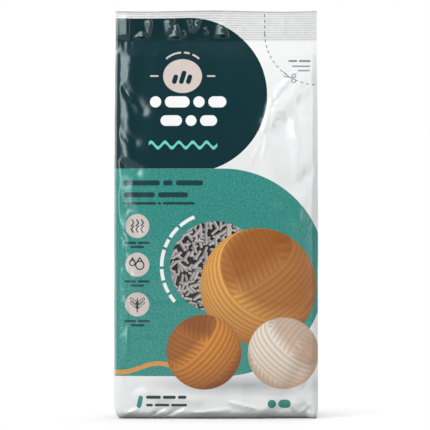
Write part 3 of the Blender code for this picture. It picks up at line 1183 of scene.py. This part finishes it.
def draw_mint_line(board):
    """A waved stripe of mint under the title."""
    pitch, swing, level, half_width = 0.0245, 0.0050, 0.4830, 0.0030
    middle_x, half_length = -0.0602, 0.0605
    x, y, _ = board.place.parts()
    wave = work("SINE", x * (2 * math.pi / pitch))
    on_line = inside(abs(y - wave.line(swing, level)) - half_width)
    beside = abs(x - middle_x)
    board.lay(on_line * inside(beside - half_length), mint)


def draw_lines_of_words(board):
    for line in lines_of_words:
        words(board, *line)
    board.shape(stroke, mid_teal, *foot_mark)


# %% Round line of words, and the emblem
emblem_middle, emblem_radius, emblem_form = at(-0.0613, 0.6066), 0.0320, (1.08, 0.96, 1.0)
emblem_pellets = [(-0.0760, 0.0170), (-0.0635, 0.0240), (-0.0510, 0.0170)]
emblem_foot, emblem_pellet_radius, emblem_lean = 0.5965, 0.0042, 0.30
emblem_spans = ((47, 66), (73, 87), (94, 133))
picture_spans = ((113, 131), (134, 147), (150, 159), (162, 180), (183, 195), (198, 209), (212, 221))


def arc_words(board, middle, radius, half_width, spans, ink):
    """Bars that follow a round line: each span is a start and an end, in degrees."""
    away = board.place - middle
    x, y, _ = away.parts()
    angle = work("DEGREES", work("ARCTAN2", y, x))
    turned = work("MODULO", angle + 360.0, 360.0)
    on_line = inside(abs(work("LENGTH", away) - radius) - half_width)
    for start, end in spans:
        off = abs(turned - (start + end) / 2)
        past = (off - (end - start) / 2) * math.radians(radius)
        board.lay(on_line * inside(past), ink)


def draw_emblem(board):
    """A pale oval with three slanted pellets in it."""
    away = board.place - emblem_middle
    board.lay(inside(work("LENGTH", away / emblem_form) - emblem_radius), pale_pink)
    for left, length in emblem_pellets:
        rise = length - 2 * emblem_pellet_radius
        head = at(left + rise * math.tan(emblem_lean), emblem_foot + rise)
        board.shape(stroke, deep_teal, at(left, emblem_foot), head, emblem_pellet_radius)
    arc_words(board, emblem_middle, 0.0430, 0.0016, emblem_spans, pale_pink)
    for left in (-0.1190, -0.0180):
        words(board, left, emblem_middle[1], 0.0028, 0.0, (0.0150,), pale_pink)


def draw_round_line(board):
    arc_words(board, picture_middle, 0.0945, 0.0031, picture_spans, print_white)


# %% Three round signs with their captions
sign_x, sign_radius = -0.1405, 0.0212
sign_levels = air, drop, leaf = 0.3400, 0.2720, 0.2020


def draw_signs(board):
    """Streams of air, two drops and a twig."""
    def line(level, start, end, radius, ink=ink_dark):
        """A stroke in the sign at a level, from and to places that are counted from the sign's middle."""
        ends = (at(sign_x + x, level + y) for x, y in (start, end))
        board.shape(stroke, ink, *ends, radius)

    for level in sign_levels:
        board.shape(disc, pale_pink, at(sign_x, level), sign_radius)
        words(board, sign_x - 0.0230, level - 0.0295, 0.0040, 0.0030, (0.0210, 0.0210), ink_dark)
        words(board, sign_x - 0.0120, level - 0.0368, 0.0040, 0.0, (0.0240,), ink_dark)
    for stream in (-0.0085, 0.0, 0.0085):
        for half in (-1, 1):
            turn = (stream + 0.0022 * half, 0.0055 * half)
            line(air, (stream - 0.0022 * half, 0.0), turn, 0.0012)
            line(air, turn, (stream - 0.0010 * half, 0.0110 * half), 0.0012)
    for x, y, size in ((0.0045, -0.0010, 0.0072), (-0.0085, 0.0030, 0.0048)):
        board.shape(ring, ink_dark, at(sign_x + x, drop + y), size, 0.0011)
        for side in (-1, 1):
            line(drop, (x + side * 0.80 * size, y + 0.60 * size), (x, y + 1.85 * size), 0.0011)
    line(leaf, (0.0, -0.0130), (0.0, 0.0100), 0.0011)
    for side in (-1, 1):
        for low in (-0.0060, 0.0010):
            tip = (side * 0.0110, low + 0.0090)
            line(leaf, (0.0, low), tip, 0.0024)
            line(leaf, (side * 0.003, low + 0.0024), tip, 0.0011, pale_pink)


# %% Line to cut along
cut_corner, cut_radius, cut_half_width, cut_dash = at(0.1790, 0.6843), 0.0936, 0.00075, 0.0105
scissors_x, scissors_y = 0.1290, 0.6045


def draw_cut_line(board):
    """A dashed line round the top right corner, with small scissors on it and three bars beside them."""
    x, y, _ = (board.place - cut_corner).parts()
    below = work("MINIMUM", y, 0.0)
    past = board.out(board.node("ShaderNodeCombineXYZ", x, below, 0.0))
    line = inside(abs(work("LENGTH", past) - cut_radius) - cut_half_width)
    angle = work("ARCTAN2", below, x)
    above = work("MAXIMUM", y, 0.0)
    beat = work("SINE", (angle * cut_radius + above) * (2 * math.pi / cut_dash))
    dashes = work("GREATER_THAN", beat, -0.1)
    on_left = work("LESS_THAN", x, 0.0005)
    board.lay(line * (dashes * on_left), cut_grey)
    for side in (-1, 1):
        far = at(scissors_x - 0.0100, scissors_y + 0.0050 + side * 0.0038)
        board.shape(stroke, ink_grey, at(scissors_x, scissors_y), far, 0.0010)
        loop = at(scissors_x + 0.0075, scissors_y - 0.0020 + side * 0.0044)
        board.shape(ring, ink_grey, loop, 0.0033, 0.0009)
    words(board, 0.1270, 0.6340, 0.0038, 0.0030, (0.0160, 0.0210), ink_grey)
    words(board, 0.1340, 0.6245, 0.0026, 0.0, (0.0320,), ink_grey)
    words(board, 0.1440, 0.6165, 0.0026, 0.0, (0.0210,), ink_grey)


# %% [markdown]
# ## A painted highlight on the fins, and painted shade between the ribs
#
# The tips of the fins are painted paler in the ink: a painted highlight for the light that their folded
# edges catch. The ribs of the seal are finer than a pixel of a small picture, where their relief hardly
# shows. So the grooves between them get painted shade in the ink as well, here more and there less, as on
# film that the jaws pressed unevenly.

# %% Painted highlight on the fins and painted shade in the grooves
tip_highlight_breadth, tip_highlight_share = 0.0030, 0.40
groove_shade = 0.32
groove_patches = (14.0, 150.0, 1.0)


# Painted highlight: film white is laid over the print along the tips of the fins.
def draw_tip_highlight(board):
    side = abs(board.place.parts()[0])
    from_front = abs(side - web_tip)
    from_back = abs(side - web_back_tip)
    tip_highlight = work("MINIMUM", from_front, from_back).ramp(-1.0 / tip_highlight_breadth, 1.0)
    board.lay(tip_highlight * tip_highlight_share, film_white)


# Painted shade: the print is darkened in the grooves between the seal's ribs.
def draw_groove_shade(board):
    above = board.place.parts()[1] - seal_bottom
    beat = work("SINE", above * (2 * math.pi * rib_count / seal_height))
    groove = beat.line(-0.5, 0.5)
    in_seal = work("GREATER_THAN", above, 0.0)
    strength = groove * groove * in_seal
    uneven = board.node("ShaderNodeTexNoise", board.place * groove_patches, noise_dimensions="2D")
    strength = strength * board.out(uneven).ramp(3.0, -0.6)
    board.colour = board.colour.scaled(strength.line(-groove_shade, 1.0))


# %% [markdown]
# ## The film's finish
#
# The film is glossy plastic, but not a mirror: rubbing and handling leave it a little uneven. So its
# roughness wanders in soft patches, and the ink differs by a few percent from place to place. A very fine
# bump stands for the grain of the pellets that press from inside, and ridged noise for the small crumples
# near the edges and round one pinched place, which are under a millimetre high. The gloss is tinted a
# little towards teal, because the clear layer over the ink takes some red out of what it mirrors. A coat
# layer would add nothing to that.

# %% Mix the film's material
ink_wander, base_roughness, roughness_wander = 0.10, 0.18, 0.14
patch_scale, pellet_scale, grain_scale, crumple_scale = 14.0, 95.0, 240.0, 34.0
grain_share, crumple_share = 0.35, 4.0
pinch_middle = (0.105, -0.080, 0.550)
bump_strength, bump_distance = 0.12, 0.0012
gloss_tint = (0.84, 1.0, 1.0)


def new_material(name):
    material = bpy.data.materials.new(name)
    material.use_nodes = True
    return material, material.node_tree, material.node_tree.nodes["Principled BSDF"]


def bump_height(board, place):
    """Grain everywhere, and crumples towards both edges and round the pinched place."""
    pellets = board.texture("Voronoi", place, pellet_scale, feature="SMOOTH_F1")
    fine = board.texture("Noise", place, grain_scale, 2.0)
    height = board.out(fine).line(grain_share, board.out(pellets, "Distance"))
    crumple = board.texture("Noise", place, crumple_scale, 2.0, noise_type="RIDGED_MULTIFRACTAL")
    pinched = work("LENGTH", place - pinch_middle).ramp(-14.0, 1.5)
    near_edge = abs(place.parts()[0]).ramp(9.0, -0.9)
    weight = work("MAXIMUM", near_edge, pinched)
    return (board.out(crumple) * weight).line(crumple_share, height)


def film_material():
    material, tree, shader = new_material("printed_film")
    board = start_print(tree)
    for draw in (draw_fields, draw_pellets, draw_wool, draw_title, draw_mint_line, draw_lines_of_words,
                 draw_emblem, draw_round_line, draw_signs, draw_cut_line, draw_tip_highlight, draw_groove_shade):
        draw(board)
    place = board.out(board.node("ShaderNodeTexCoord"), "Object")
    wander = board.out(board.texture("Noise", place, patch_scale, 3.0)) - 0.5
    connect(shader.inputs["Base Color"], board.colour.scaled(wander.line(ink_wander, 1.0)))
    connect(shader.inputs["Roughness"], wander.line(roughness_wander, base_roughness))
    height = bump_height(board, place)
    bump = board.node("ShaderNodeBump")
    bump.inputs["Strength"].default_value = bump_strength
    bump.inputs["Distance"].default_value = bump_distance
    connect(bump.inputs["Height"], height)
    connect(shader.inputs["Normal"], board.out(bump))
    shader.inputs["IOR"].default_value = 1.5
    connect(shader.inputs["Specular Tint"], gloss_tint)
    print("nodes in the film's material:", len(tree.nodes))
    return material


sack.data.materials.append(film_material())

# %% Hand the sack to the frame
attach(sack, "root")
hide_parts("litter_bag")

# %% [markdown]
# ## Floor and light
#
# The photograph was taken against pure white, with a tall soft box on each hand. Gloss shows its
# surroundings, so the lights are what draws the film: the wide box on the left puts the bright band down
# the left edge, and the narrow ones light up single creases and pleats. They are bright strips in the
# world, not lamps, because a strip can be placed by its angle alone. A fold that leans by some angle
# mirrors what stands at twice that angle, so strips at 36 to 47 degrees catch folds of 18 to 24. The room
# behind the camera is dim, and the floor throws back little, so that the dark ink stays dark. A studio
# sweep would be one way to the white ground, but a plain pale floor that turns white further off is simpler
# and keeps the shadow.

# %% The floor
shadow_fade = 0.16
floor_pale = (0.85, 0.85, 0.85)
floor_bounce = (0.28, 0.28, 0.28)
near_bounce = (0.15, 0.15, 0.15)


def camera_sees(board):
    """1 where the camera looks at a surface, also in a mirror or through glass."""
    path = board.node("ShaderNodeLightPath")
    mirrored = work("MAXIMUM", board.out(path, "Is Glossy Ray"), board.out(path, "Is Transmission Ray"))
    return work("MAXIMUM", board.out(path, "Is Camera Ray"), mirrored)


def make_floor():
    """A pale floor that keeps the shadow near the sack and turns to plain white further off."""
    bpy.ops.mesh.primitive_plane_add(size=60.0, location=(0.0, 0.0, bag_low[2] - 0.0002))
    floor = bpy.context.object
    floor.name = "floor"
    material, tree, shader = new_material("pale_floor")
    shader.inputs["Roughness"].default_value = 0.9
    board = Print(tree)
    place = board.out(board.node("ShaderNodeTexCoord"), "Object")
    beside = abs(place) - (bag_width / 2, gusset_depth / 2, 0.0)
    off = work("LENGTH", work("MAXIMUM", beside, (0.0, 0.0, 0.0)))
    far = work("SQRT", (off / shadow_fade).clamped())
    seen = camera_sees(board)
    bounce = board.mix(far, near_bounce, floor_bounce)
    connect(shader.inputs["Base Color"], board.mix(seen, bounce, floor_pale))
    white = board.out(board.node("ShaderNodeEmission"))
    blend = board.node("ShaderNodeMixShader", far * seen, Value(board, shader.outputs[0]), white)
    connect(tree.nodes["Material Output"].inputs["Surface"], board.out(blend))
    floor.data.materials.append(material)


make_floor()

# %% The world and its tall lights
front_light, back_light = 0.15, 1.0
front_to_back = (-0.5, 0.3)
tall_lights = [
    (-47.0, 9.0, 90.0),
    (-36.0, 2.8, 75.0),
    (44.0, 2.8, 120.0),
    (44.0, 1.6, 30.0),
]


def make_world():
    """A white studio wall behind the sack, and a dim room on the camera's side with tall soft lights on each
    hand. Each of these has a turn from the camera's side, a strength and a narrowness."""
    world = bpy.data.worlds.new("studio")
    bpy.context.scene.world = world
    world.use_nodes = True
    background = world.node_tree.nodes["Background"]
    connect(background.inputs["Color"], (1.0, 1.0, 1.0))
    board = Print(world.node_tree)
    direction = board.out(board.node("ShaderNodeTexCoord"), "Generated")
    _, back, up = direction.parts()
    light = back.fade(*front_to_back, front_light, back_light)
    level = work("NORMALIZE", direction * (1.0, 1.0, 0.0))
    standing = up.fade(0.55, 0.95, 1.0, 0.0) * up.fade(-0.05, 0.35, 0.55, 1.0)
    for turn, strength, narrowness in tall_lights:
        angle = math.radians(turn)
        facing = work("DOT_PRODUCT", level, (math.sin(angle), -math.cos(angle), 0.0))
        strip = work("POWER", work("MAXIMUM", facing, 0.0), narrowness)
        light = (strip * strength).line(standing, light)
    connect(background.inputs["Strength"], light)


make_world()


# %% Two lamps
def soft_box(name, turn, height, distance, size, power):
    """A lamp that stands round the sack, `turn` degrees from the camera's side: to the right is positive."""
    lamp = bpy.data.lights.new(name, "AREA")
    lamp.shape = "RECTANGLE"
    lamp.size, lamp.size_y = size
    lamp.energy = power
    holder = new_object(name, lamp)
    angle = math.radians(turn)
    holder.location = (distance * math.sin(angle), -distance * math.cos(angle), height)
    aim = Vector((0.0, 0.0, bag_height / 2))
    holder.rotation_euler = (aim - holder.location).to_track_quat("-Z", "Y").to_euler()
    print("lamp", name, "watts:", power)


soft_box("key_above", -50.0, 3.00, 2.0, (1.3, 1.2), 17.0)
soft_box("back_box", 160.0, 1.80, 2.3, (1.6, 1.6), 20.0)
bpy.context.scene.view_settings.view_transform = "Standard"
